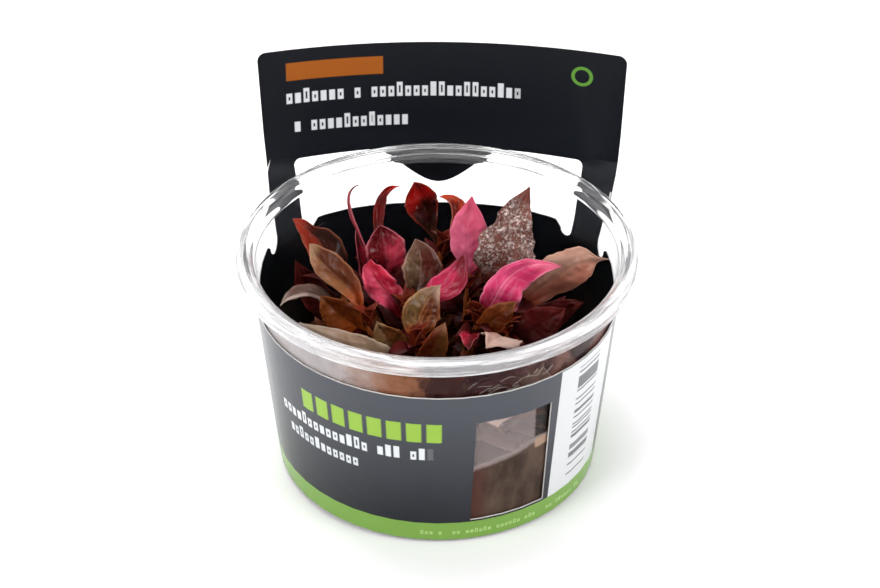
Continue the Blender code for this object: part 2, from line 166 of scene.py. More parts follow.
view = {"aim": (0.000765, 0, 0.04767), "distance": 0.600, "elevation": math.radians(34.46), "lens": 95.41}
studio = {
    "world": 0.55,
    "lamps": {
        "top": {"place": (-0.12, 0.28, 0.80), "size": 0.60, "power": 7.0},
        "left": {"place": (-0.60, -0.42, 0.42), "size": 0.45, "power": 4.2},
        "right": {"place": (0.62, -0.36, 0.42), "size": 0.45, "power": 4.2},
    },
}


def makeCamera():
    camera = bpy.data.objects.new("camera", bpy.data.cameras.new("camera"))
    camera.data.lens = view["lens"]
    camera.data.clip_start = 0.01
    lift = view["elevation"]
    aim = Vector(view["aim"])
    camera.location = aim + Vector((0, -math.cos(lift), math.sin(lift))) * view["distance"]
    camera.rotation_euler = (math.pi / 2 - lift, 0, 0)
    bpy.context.scene.collection.objects.link(camera)
    bpy.context.scene.camera = camera


def makeLamp(name, place, size, power):
    lamp = bpy.data.lights.new(name, "AREA")
    lamp.shape = "SQUARE"
    lamp.size = size
    lamp.energy = power
    holder = bpy.data.objects.new(name, lamp)
    holder.location = place
    holder.rotation_euler = (Vector(view["aim"]) - Vector(place)).to_track_quat("-Z", "Y").to_euler()
    bpy.context.scene.collection.objects.link(holder)


def makeStudio():
    world = bpy.data.worlds.new("studio")
    world.use_nodes = True
    world.node_tree.nodes["Background"].inputs["Color"].default_value = (1, 1, 1, 1)
    world.node_tree.nodes["Background"].inputs["Strength"].default_value = studio["world"]
    bpy.context.scene.world = world
    for name, lamp in studio["lamps"].items():
        makeLamp(name, lamp["place"], lamp["size"], lamp["power"])
    floor = bpy.data.objects.new("floor", bpy.data.meshes.new("floor"))
    sheet = bmesh.new()
    bmesh.ops.create_grid(sheet, x_segments=1, y_segments=1, size=6)
    sheet.to_mesh(floor.data)
    sheet.free()
    floor.location.z = -0.0002
    finish = Finish("floor")
    shade = finish.mix((0.90, 0.90, 0.90), (0.92, 0.92, 0.92), finish.grain(finish.place(), 3))
    floor.data.materials.append(finish.done(finish.skin(Base_Color=shade, Roughness=0.6)))
    bpy.context.scene.collection.objects.link(floor)


# Pieces

def addPiece(name, mesh, materials, replaced=()):
    piece = bpy.data.objects.new(name, mesh)
    for material in materials:
        mesh.materials.append(material)
    bpy.context.scene.collection.objects.link(piece)
    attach(piece, "root")
    if replaced:
        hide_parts(*replaced)
    return piece


def evaluatedMesh(source):
    bpy.context.view_layer.update()
    return bpy.data.meshes.new_from_object(source.evaluated_get(bpy.context.evaluated_depsgraph_get()))


def smooth(t):
    t = min(max(t, 0.0), 1.0)
    return t * t * (3 - 2 * t)


# Cup and gel, turned from their outlines

cup = {
    "footRadius": 0.0413, "flare": 0.094, "wall": 0.0007, "floor": 0.0010,
    "brimRadius": 0.0505, "brimHeight": 0.0631, "skirtDepth": 0.0045, "skirtWall": 0.0007,
    "steps": 160, "gelHeight": 0.0140, "gap": 0.00035, "brimStart": 0.0590,
}
film = {"left": 0.0060, "right": 0.0320, "low": 0.0060, "high": 0.0480, "line": 0.0220, "slope": 0.26,
        "paleEnd": 0.0243, "bitLow": 0.0264, "bitHigh": 0.0292}


def wallRadius(height):
    return cup["footRadius"] + cup["flare"] * height


def turnedMesh(name, outline, steps):
    shell = bmesh.new()
    ring = [shell.verts.new((radius, 0, height)) for radius, height in outline]
    edges = [shell.edges.new(pair) for pair in zip(ring, ring[1:])]
    bmesh.ops.spin(shell, geom=ring + edges, cent=(0, 0, 0), axis=(0, 0, 1), angle=math.tau,
                   steps=steps, use_merge=True)
    bmesh.ops.remove_doubles(shell, verts=shell.verts, dist=1e-6)
    bmesh.ops.recalc_face_normals(shell, faces=shell.faces)
    mesh = bpy.data.meshes.new(name)
    shell.to_mesh(mesh)
    shell.free()
    mesh.shade_smooth()
    return mesh


def rounded(corners, radius, steps=3):
    # an open outline with each inner corner cut to a small arc
    points = [Vector(corners[0])]
    for before, corner, after in zip(corners, corners[1:], corners[2:]):
        before, corner, after = Vector(before), Vector(corner), Vector(after)
        reach = min(radius, (before - corner).length * 0.4, (after - corner).length * 0.4)
        start = corner + (before - corner).normalized() * reach
        end = corner + (after - corner).normalized() * reach
        for i in range(steps + 1):
            t = i / steps
            points.append(start * (1 - t) ** 2 + corner * 2 * t * (1 - t) + end * t ** 2)
    points.append(Vector(corners[-1]))
    return points


def clearSkin(finish, where, bend, gloss):
    haze = finish.grain(where, 260, 2)
    return finish.skin(Base_Color=(0.97, 0.975, 0.98), Roughness=haze * 0.04 + gloss, IOR=bend,
                       Transmission_Weight=1.0)


def wallPlastic():
    # clear, with a wet film where the wall shows: pale over the window's top, brown under it,
    # and pale to maroon round the strip between card and brim
    finish = Finish("clear_plastic")
    where = finish.place()
    x, y, z = finish.split(where)
    drops = finish.grain(where, 330, 4, 0.6)
    smears = finish.grain(where, 120, 4, 0.6, (1, 1, 0.45))
    pale = finish.mix((0.78, 0.66, 0.66), (0.60, 0.48, 0.45), drops)
    brown = finish.mix((0.028, 0.015, 0.010), (0.092, 0.059, 0.042), smears.between(0.32, 0.66))
    brown = finish.mix((0.070, 0.026, 0.019), brown, x.between(0.009, 0.015) + drops - 0.5)
    line = film["line"] + x * film["slope"] + (smears - 0.5) * 0.004
    above = z.between(line - 0.0014, line + 0.0014)
    edge = 1 - x.between(film["paleEnd"] - 0.0003, film["paleEnd"] + 0.0003)
    panes = x.band(film["left"], film["right"], 0.0008) * z.band(film["low"], film["high"], 0.0005)
    panes = panes * (above * edge * (drops * 0.10 + 0.09) + (1 - above) * 0.92)
    leafBit = x.between(film["paleEnd"] - 0.0002, film["paleEnd"] + 0.0004)
    leafBit = leafBit * (z + (drops - 0.5) * 0.003).band(film["bitLow"], film["bitHigh"], 0.0004)
    turn = x.call("ARCTAN2", y * -1) + (drops - 0.5) * 0.35
    strip = z.between(film["high"], film["high"] + 0.0005)
    ink = finish.mix((0.62, 0.57, 0.57), (0.36, 0.14, 0.065), turn.between(-0.62, -0.22))
    ink = finish.mix(ink, (0.034, 0.007, 0.008), turn.between(-0.16, -0.02))
    ink = finish.mix(ink, (0.24, 0.105, 0.085), turn.between(0.35, 0.80) * smears.between(0.40, 0.55))
    colour = finish.mix(finish.mix(brown, pale, above), (0.30, 0.20, 0.14), leafBit)
    colour = finish.mix(colour, ink, strip)
    front = 1 - y.between(-0.020, -0.005)
    share = (panes + leafBit * 0.5 + strip * (smears * 0.3 + 0.25)) * front
    wet = finish.skin(Base_Color=colour, Roughness=0.5, IOR=1.2)
    clear = clearSkin(finish, where, 1.15, 0.0)
    return finish.done(finish.node("ShaderNodeMixShader", None, {0: share, 1: clear, 2: wet}))


def brimPlastic():
    # clear plastic under a painted white reflection, stronger in front and in fine streaks round the ring
    finish = Finish("brim_plastic")
    where = finish.place()
    x, y, z = finish.split(where)
    turn = x.call("ARCTAN2", y * -1)
    ring = (x * x + y * y).call("SQRT")
    round_ = finish.node("ShaderNodeCombineXYZ", None, {0: turn * 2.5, 1: ring * 800, 2: z * 800})
    streaks = finish.grain(round_, 1, 3, 0.6).between(0.46, 0.64)
    # how much painted white reflection covers the clear plastic: more in front and along the streaks
    share = (1 - y.between(-0.045, 0.030)) * (streaks * 0.34 + 0.16) + streaks * 0.06 + 0.02
    painted_reflection = finish.skin(Base_Color=finish.mix((0.86, 0.86, 0.88), (0.93, 0.93, 0.94), streaks), Roughness=0.2)
    clear = clearSkin(finish, where, 1.34, 0.03)
    return finish.done(finish.node("ShaderNodeMixShader", None, {0: share, 1: clear, 2: painted_reflection}))


def cultureGel():
    finish = Finish("culture_gel")
    cloud = finish.grain(finish.place(), 140, 4)
    colour = finish.mix((0.20, 0.105, 0.055), (0.10, 0.045, 0.024), cloud)
    return finish.done(finish.skin(
        Base_Color=colour, Roughness=0.25, IOR=1.25, Transmission_Weight=0.3))


def makeCup():
    top, rim, wall = cup["brimHeight"], cup["brimRadius"], cup["wall"]
    floorTop = cup["floor"]
    innerFoot = wallRadius(floorTop) - wall
    innerTop = wallRadius(top) - wall
    foot = cup["footRadius"] - 0.0015
    skirt, skirtWall = rim + 0.0005, cup["skirtWall"]
    corners = [
        (0, floorTop), (innerFoot - 0.0018, floorTop), (innerFoot, floorTop + 0.0018),
        (innerTop - 0.0003, top - 0.0028), (innerTop, top - 0.0018), (innerTop + 0.0010, top - 0.0013),
        (innerTop + 0.0019, top - 0.0003), (innerTop + 0.0026, top), (rim - 0.0006, top),
        (rim, top - 0.0006), (rim, top - 0.0018), (skirt, top - 0.0023), (skirt, top - cup["skirtDepth"]),
        (skirt - skirtWall, top - cup["skirtDepth"]), (skirt - skirtWall - 0.0002, top - 0.0014),
        (skirt - skirtWall - 0.0010, top - 0.0008), (innerTop + 0.0027, top - 0.0008),
        (innerTop + 0.0017, top - 0.0023), (wallRadius(top - 0.0038), top - 0.0038),
        (wallRadius(0.0020), 0.0020), (foot + 0.0004, 0.0004), (foot - 0.0004, 0), (foot - 0.0016, 0),
        (foot - 0.0020, 0.0004), (foot - 0.0042, 0.0004), (foot - 0.0046, 0), (0, 0),
    ]
    mesh = turnedMesh("cup_clear", rounded(corners, 0.0005), cup["steps"])
    for face in mesh.polygons:
        face.material_index = 1 if face.center.z > cup["brimStart"] - 0.0006 else 0
    addPiece("cup_clear", mesh, [wallPlastic(), brimPlastic()], ["cup"])


def makeGel():
    gap, wall, level = cup["gap"], cup["wall"], cup["gelHeight"]
    bottom = cup["floor"] + gap
    edge = wallRadius(level) - wall - gap
    foot = wallRadius(bottom) - wall - gap
    corners = [(0, level)]
    corners += [(edge * share, level) for share in (0.1, 0.2, 0.3, 0.4, 0.5, 0.6, 0.7, 0.8, 0.9)]
    corners += [(edge - 0.0012, level + 0.0001), (edge, level + 0.0006)]
    corners += [(foot + 0.00015, bottom + 0.0021), (foot - 0.0023, bottom), (0, bottom)]
    mesh = turnedMesh("gel_clear", rounded(corners, 0.0006), 96)
    for vert in mesh.vertices:
        if vert.co.z > level - 0.002 and vert.co.xy.length < edge * 0.95:
            vert.co.z += noise.noise(vert.co * 120) * 0.0004
    addPiece("gel_clear", mesh, [cultureGel()], ["culture_gel"])


# Card sleeve: the CAD sheet, welded and smooth, with a finish for each side and a pale cut edge

card = {
    "askew": 0.010, "radius": 0.0449, "top": 0.049, "stripeTop": 0.0068,
    "panelStart": math.radians(41.5), "panelEnd": math.radians(72), "panelTop": 0.0486,
    "barsStart": math.radians(50), "barsEnd": math.radians(62), "barsLow": 0.0105, "barsHigh": 0.0465,
    "barWidth": 0.00055,
}
# rows of plain blocks where a label would have words: start and end (degrees round the front,
# metres across the header), low, high, how many blocks, share that are left out, and colour
frontRows = {
    "title": (-48, 2.5, 0.0345, 0.0405, 8, 0.0, (0.24, 0.40, 0.045)),
    "first": (-60, 2.0, 0.0286, 0.0324, 23, 0.1, (0.60, 0.62, 0.64)),
    "second": (-57, -26, 0.0226, 0.0262, 12, 0.06, (0.56, 0.58, 0.60)),
    "foot": (-6, 60, 0.0028, 0.0042, 42, 0.2, (0.32, 0.48, 0.16)),
}
headerRows = {
    "first": (-0.0405, 0.0227, 0.0764, 0.0806, 28, 0.1),
    "second": (-0.0408, -0.0076, 0.0678, 0.0720, 15, 0.06),
}
headerBadge = {"left": -0.0400, "right": -0.0144, "low": 0.0832, "high": 0.0884}
headerRing = {"centre": 0.0385, "level": 0.0848, "radius": 0.0024, "width": 0.0009}


def blocks(finish, along, height, row, seed):
    # a row of blocks, some lower than others and some open, with one left out now and then
    start, end, low, high, count, gaps = row
    step = (along - start) / ((end - start) / count)
    whole = step.call("FLOOR")
    part = step - whole
    if not gaps:
        return along.band(start, end, 0.0001) * part.band(0.10, 0.84, 0.05) * height.band(low, high, 0.00012)
    kept = finish.chance(whole + seed).between(gaps, gaps + 0.01)
    tall = finish.chance(whole * 3 + seed).between(0.66, 0.68)
    opened = finish.chance(whole * 7 + seed).between(0.30, 0.32)
    top = low + (high - low) * (0.72 + 0.28 * tall)
    rim = (high - low) * 0.24
    hollow = part.band(0.40, 0.60, 0.06) * height.band(low + rim, top - rim, 0.0001) * opened
    block = part.band(0.16, 0.84, 0.07) * height.band(low, top, 0.00012)
    return along.band(start, end, 0.0001) * block * kept * (1 - hollow)


def slateSide():
    # the printed side, seen round the cup
    finish = Finish("card_printed_side")
    where = finish.place()
    x, y, z = finish.split(where)
    height = z + x * card["askew"]
    turn = x.call("ARCTAN2", y * -1)
    along = turn * card["radius"]
    fibre = finish.grain(where, 900, 4)
    cloud = finish.grain(where, 30, 2)
    # painted light and shade: the colour is lighter towards the top and darker towards the bottom, as the light
    # falls from above, with some random tone
    level = height.between(-0.004, card["top"] + 0.006) + (cloud - 0.5) * 0.25
    colour = finish.mix((0.003, 0.004, 0.008), (0.052, 0.057, 0.069), level)
    stripe = 1 - height.between(card["stripeTop"] - 0.0001, card["stripeTop"] + 0.0001)
    colour = finish.mix(colour, (0.155, 0.30, 0.050), stripe)
    panel = turn.band(card["panelStart"], card["panelEnd"], 0.002)
    panel = panel * height.band(card["stripeTop"], card["panelTop"], 0.0001)
    colour = finish.mix(colour, (0.56, 0.57, 0.58), panel)
    bar = finish.chance((height / card["barWidth"]).call("FLOOR")).between(0.45, 0.55)
    reach = turn.band(card["barsStart"], card["barsEnd"], 0.002)
    bar = bar * reach * height.band(card["barsLow"], card["barsHigh"], 0.0001)
    colour = finish.mix(colour, (0.12, 0.12, 0.13), bar)
    for seed, (start, end, *row, ink) in enumerate(frontRows.values()):
        ends = [math.radians(angle) * card["radius"] for angle in (start, end)]
        mask = blocks(finish, along, height, (*ends, *row), seed * 37 + 5)
        colour = finish.mix(colour, ink, mask)
    return finish.done(finish.skin(
        Base_Color=colour, Roughness=fibre * 0.10 + 0.16, IOR=1.31, Normal=finish.bump(fibre, 0.00002)))


def blackSide():
    # the side that faces the cup, which is the front of the header
    finish = Finish("card_black_side")
    where = finish.place()
    x, y, z = finish.split(where)
    height = z + x * card["askew"]
    fibre = finish.grain(where, 1000, 4)
    cloud = finish.grain(where, 25, 2)
    colour = finish.mix((0.0025, 0.0035, 0.006), (0.005, 0.007, 0.011), cloud)
    for seed, row in enumerate(headerRows.values()):
        colour = finish.mix(colour, (0.62, 0.64, 0.66), blocks(finish, x, height, row, seed * 53 + 11))
    badge = x.band(headerBadge["left"], headerBadge["right"], 0.00015)
    badge = badge * height.band(headerBadge["low"], headerBadge["high"], 0.00015)
    colour = finish.mix(colour, (0.30, 0.080, 0.008), badge)
    away = (x - headerRing["centre"]).call("POWER", 2) + (height - headerRing["level"]).call("POWER", 2)
    half = headerRing["width"] / 2
    ring = away.call("SQRT").band(headerRing["radius"] - half, headerRing["radius"] + half, 0.00012)
    colour = finish.mix(colour, (0.10, 0.26, 0.035), ring * y.between(0, 0.01))
    return finish.done(finish.skin(
        Base_Color=colour, Roughness=fibre * 0.12 + 0.36, IOR=1.30, Normal=finish.bump(fibre, 0.00002)))


def cutEdge():
    finish = Finish("card_cut_edge")
    fibre = finish.grain(finish.place(), 1400, 4)
    colour = finish.mix((0.45, 0.43, 0.42), (0.75, 0.73, 0.71), fibre)
    return finish.done(finish.skin(Base_Color=colour, Roughness=0.85, Normal=finish.bump(fibre, 0.00004)))


def makeSleeve():
    sheet = bmesh.new()
    sheet.from_mesh(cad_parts["card_sleeve"].data)
    bmesh.ops.remove_doubles(sheet, verts=sheet.verts, dist=2e-6)
    for face in sheet.faces:
        out = face.calc_center_median()
        facing = face.normal.dot(Vector((out.x, out.y, 0)).normalized())
        face.material_index = 2 if abs(facing) < 0.5 else 0 if facing > 0 else 1
        face.smooth = True
    for edge in sheet.edges:
        sides = {face.material_index for face in edge.link_faces}
        edge.smooth = len(sides) == 1 and edge.calc_face_angle(0) < math.radians(25)
    mesh = bpy.data.meshes.new("sleeve_printed")
    sheet.to_mesh(mesh)
    sheet.free()
    addPiece("sleeve_printed", mesh, [slateSide(), blackSide(), cutEdge()], ["card_sleeve"])


# Stems

stems = {
    "left_front": ((-0.013, -0.009), (-0.018, -0.012, 0.048)),
    "left": ((-0.020, 0.004), (-0.025, 0.003, 0.047)),
    "middle": ((-0.005, -0.002), (-0.0075, -0.005, 0.047)),
    "front": ((-0.003, -0.013), (-0.005, -0.020, 0.046)),
    "right": ((0.007, -0.005), (0.0105, -0.010, 0.047)),
    "right_front": ((0.014, -0.011), (0.018, -0.013, 0.046)),
    "back_left": ((-0.012, 0.010), (-0.014, 0.009, 0.049)),
    "back": ((0.001, 0.015), (0.001, 0.018, 0.051)),
    "centre_back": ((0.007, 0.003), (0.008, 0.005, 0.048)),
    "right_back": ((0.018, 0.006), (0.018, 0.005, 0.047)),
}
stem = {"radius": 0.0008, "steps": 28, "buried": 0.004, "wander": 0.0007, "jointSpacing": 0.0085}


def stemPoint(name, height):
    (footX, footY), (topX, topY, topZ) = stems[name]
    share = (height - cup["gelHeight"]) / (topZ - cup["gelHeight"])
    lean = share * (1 + share) / 2
    return Vector((footX + (topX - footX) * lean, footY + (topY - footY) * lean, height))


def tubeMesh(paths, radius):
    # round threads along lists of (place, thickness) pairs, as one mesh
    curve = bpy.data.curves.new("threads", "CURVE")
    curve.dimensions = "3D"
    curve.bevel_depth = radius
    curve.bevel_resolution = 3
    curve.use_fill_caps = True
    for path in paths:
        spline = curve.splines.new("POLY")
        spline.points.add(len(path) - 1)
        for point, (place, thickness) in zip(spline.points, path):
            point.co = (*place, 1)
            point.radius = thickness
    holder = bpy.data.objects.new("threads", curve)
    bpy.context.scene.collection.objects.link(holder)
    mesh = evaluatedMesh(holder)
    bpy.data.objects.remove(holder)
    body = bmesh.new()
    body.from_mesh(mesh)
    bmesh.ops.remove_doubles(body, verts=body.verts, dist=1e-6)
    bmesh.ops.recalc_face_normals(body, faces=body.faces)
    body.to_mesh(mesh)
    body.free()
    mesh.shade_smooth()
    return mesh


def makeStems():
    finish = Finish("stem")
    where = finish.place()
    z = finish.split(where)[2]
    streaks = finish.grain(where, 500, 3, 0.6, (1, 1, 0.15))
    shade = z.between(0.022, 0.042) + streaks * 0.5 - 0.25
    colour = finish.mix((0.22, 0.13, 0.03), (0.34, 0.085, 0.022), shade)
    material = finish.done(finish.skin(
        Base_Color=colour, Roughness=0.35, Coat_Weight=0.3, Normal=finish.bump(streaks, 0.00015)))
    for name, (foot, top) in stems.items():
        path = []
        bottom = cup["gelHeight"] - stem["buried"]
        for i in range(stem["steps"] + 1):
            share = i / stem["steps"]
            height = bottom + (top[2] - bottom) * share
            wander = Vector((noise.noise(Vector((height * 90, foot[0] * 900, 0))),
                             noise.noise(Vector((height * 90, 7, foot[1] * 900))), 0))
            joint = 1 + 0.35 * math.cos(math.pi * height / stem["jointSpacing"]) ** 12
            taper = 1.25 - 0.35 * share if share < 0.9 else 0.93 * (1 - share) / 0.1 + 0.05
            path.append((stemPoint(name, height) + wander * stem["wander"], taper * joint))
        addPiece(f"shoot_{name}", tubeMesh([path], stem["radius"]), [material], [f"stem_{name}"])


# Leaves: stem, height on it, middle and tip of the midrib, width, the way the upper side faces

leafPlan = {
    "tan_rim": ("front", 0.031, (-0.018, -0.027, 0.0465), (-0.034, -0.028, 0.0585), 0.014, (0, -8, 6)),
    "grey_curl": ("left", 0.04, (-0.033, 0, 0.048), (-0.04, -0.006, 0.049), 0.007, (0, -1, 3)),
    "amber_short": ("left_front", 0.044, (-0.025, -0.015, 0.0525), (-0.029, -0.015, 0.0578), 0.009, (-3, -6, 6)),
    "brown_spear": ("left_front", 0.047, (-0.025, -0.005, 0.056), (-0.033, 0.004, 0.061), 0.01, (0, -8, 6)),
    "rust_back": ("left", 0.0465, (-0.029, 0.011, 0.054), (-0.037, 0.014, 0.062), 0.01, (3, -6, 4)),
    "maroon_left": ("left", 0.035, (-0.032, 0.008, 0.042), (-0.037, 0.012, 0.05), 0.009, (2, -4, 6)),
    "pink_thread": ("back_left", 0.047, (-0.022, 0.018, 0.059), (-0.023, 0.024, 0.067), 0.0035, (9, 1, 0)),
    "crimson_narrow": ("back_left", 0.037, (-0.019, 0.009, 0.05), (-0.021, 0.011, 0.06), 0.005, (5, -3, 1)),
    "crimson_shiny": ("back_left", 0.046, (-0.013, 0.005, 0.056), (-0.015, 0.008, 0.065), 0.0105, (0, -8, 6)),
    "pink_front": ("middle", 0.042, (-0.014, -0.002, 0.051), (-0.017, 0, 0.059), 0.0095, (0, -8, 6)),
    "olive_mid": ("middle", 0.047, (-0.004, 0, 0.055), (-0.006, 0.004, 0.062), 0.0105, (1, -8, 6)),
    "pink_diagonal": ("middle", 0.0465, (0, -0.007, 0.053), (0.007, 0.002, 0.057), 0.008, (0, -8, 6)),
    "red_top": ("back", 0.049, (-0.003, 0.022, 0.059), (-0.007, 0.022, 0.07), 0.0095, (1, -8, 4)),
    "red_arc": ("back_left", 0.049, (-0.015, 0.021, 0.061), (-0.01, 0.027, 0.063), 0.005, (0, -4, 8)),
    "small_orange": ("back", 0.047, (0.006, 0.024, 0.057), (0, 0.029, 0.06), 0.005, (0, -6, 8)),
    "pink_tall": ("centre_back", 0.047, (0.008, 0.012, 0.055), (0.009, 0.016, 0.067), 0.0105, (0, -8, 4)),
    "brown_wet": ("right_back", 0.045, (0.018, 0.008, 0.058), (0.024, 0.018, 0.069), 0.0155, (0, -8, 6)),
    "pink_wavy": ("right", 0.046, (0.0175, -0.0065, 0.0563), (0.0315, -0.002, 0.0575), 0.012, (0, -8, 7)),
    "brown_long": ("right_back", 0.035, (0.033, 0.003, 0.053), (0.044, 0.003, 0.0565), 0.0105, (0, -8, 7)),
    "brown_under": ("right", 0.043, (0.015, -0.014, 0.05), (0.02, -0.014, 0.055), 0.007, (0, -8, 6)),
    "beige_front": ("right_front", 0.041, (0.016, -0.026, 0.0525), (0.012, -0.034, 0.055), 0.01, (0, -4, 8)),
    "crimson_front": ("right", 0.042, (0.008, -0.019, 0.048), (0.008, -0.028, 0.05), 0.005, (0, -3, 8)),
    "olive_front": ("front", 0.037, (-0.001, -0.026, 0.049), (0.002, -0.026, 0.057), 0.007, (2, -8, 5)),
    "streaky_green": ("front", 0.0455, (-0.004, -0.015, 0.052), (0.001, -0.011, 0.058), 0.01, (0, -8, 6)),
    "olive_left": ("front", 0.04, (-0.012, -0.018, 0.046), (-0.015, -0.017, 0.051), 0.008, (-1, -8, 6)),
    "maroon_mid": ("middle", 0.037, (-0.003, -0.011, 0.046), (0.001, -0.011, 0.052), 0.007, (0, -8, 6)),
    "dark_red_right": ("right_front", 0.043, (0.026, -0.017, 0.05), (0.032, -0.017, 0.055), 0.01, (0, -8, 6)),
    "dark_right_edge": ("right_back", 0.03, (0.03, 0.004, 0.038), (0.038, 0.003, 0.043), 0.008, (0, -5, 8)),
    "dark_centre": ("centre_back", 0.038, (0.003, 0.007, 0.043), (-0.001, 0.009, 0.05), 0.009, (0, -8, 6)),
    "low_left": ("left", 0.026, (-0.03, 0.001, 0.033), (-0.037, -0.002, 0.038), 0.009, (0, 0, 1)),
    "low_back": ("back", 0.03, (0.006, 0.025, 0.037), (0.01, 0.033, 0.043), 0.009, (0, 0, 1)),
    "low_back_left": ("back_left", 0.028, (-0.019, 0.017, 0.034), (-0.024, 0.025, 0.04), 0.009, (0, 0, 1)),
    "low_right": ("right_back", 0.026, (0.026, 0.009, 0.032), (0.034, 0.013, 0.038), 0.009, (0, 0, 1)),
    "low_front": ("front", 0.022, (-0.002, -0.024, 0.026), (-0.002, -0.034, 0.03), 0.009, (0, 0, 1)),
    "window_left": ("right_front", 0.023, (0.014, -0.0255, 0.0305), (0.015, -0.0385, 0.0345), 0.0135, (0, -4, 8)),
    "window_middle": ("right_front", 0.018, (0.016, -0.026, 0.0205), (0.018, -0.0375, 0.0265), 0.012, (2, -6, 6)),
    "window_right": ("right_front", 0.03, (0.0235, -0.021, 0.037), (0.0285, -0.029, 0.0425), 0.01, (5, -6, 4)),
}
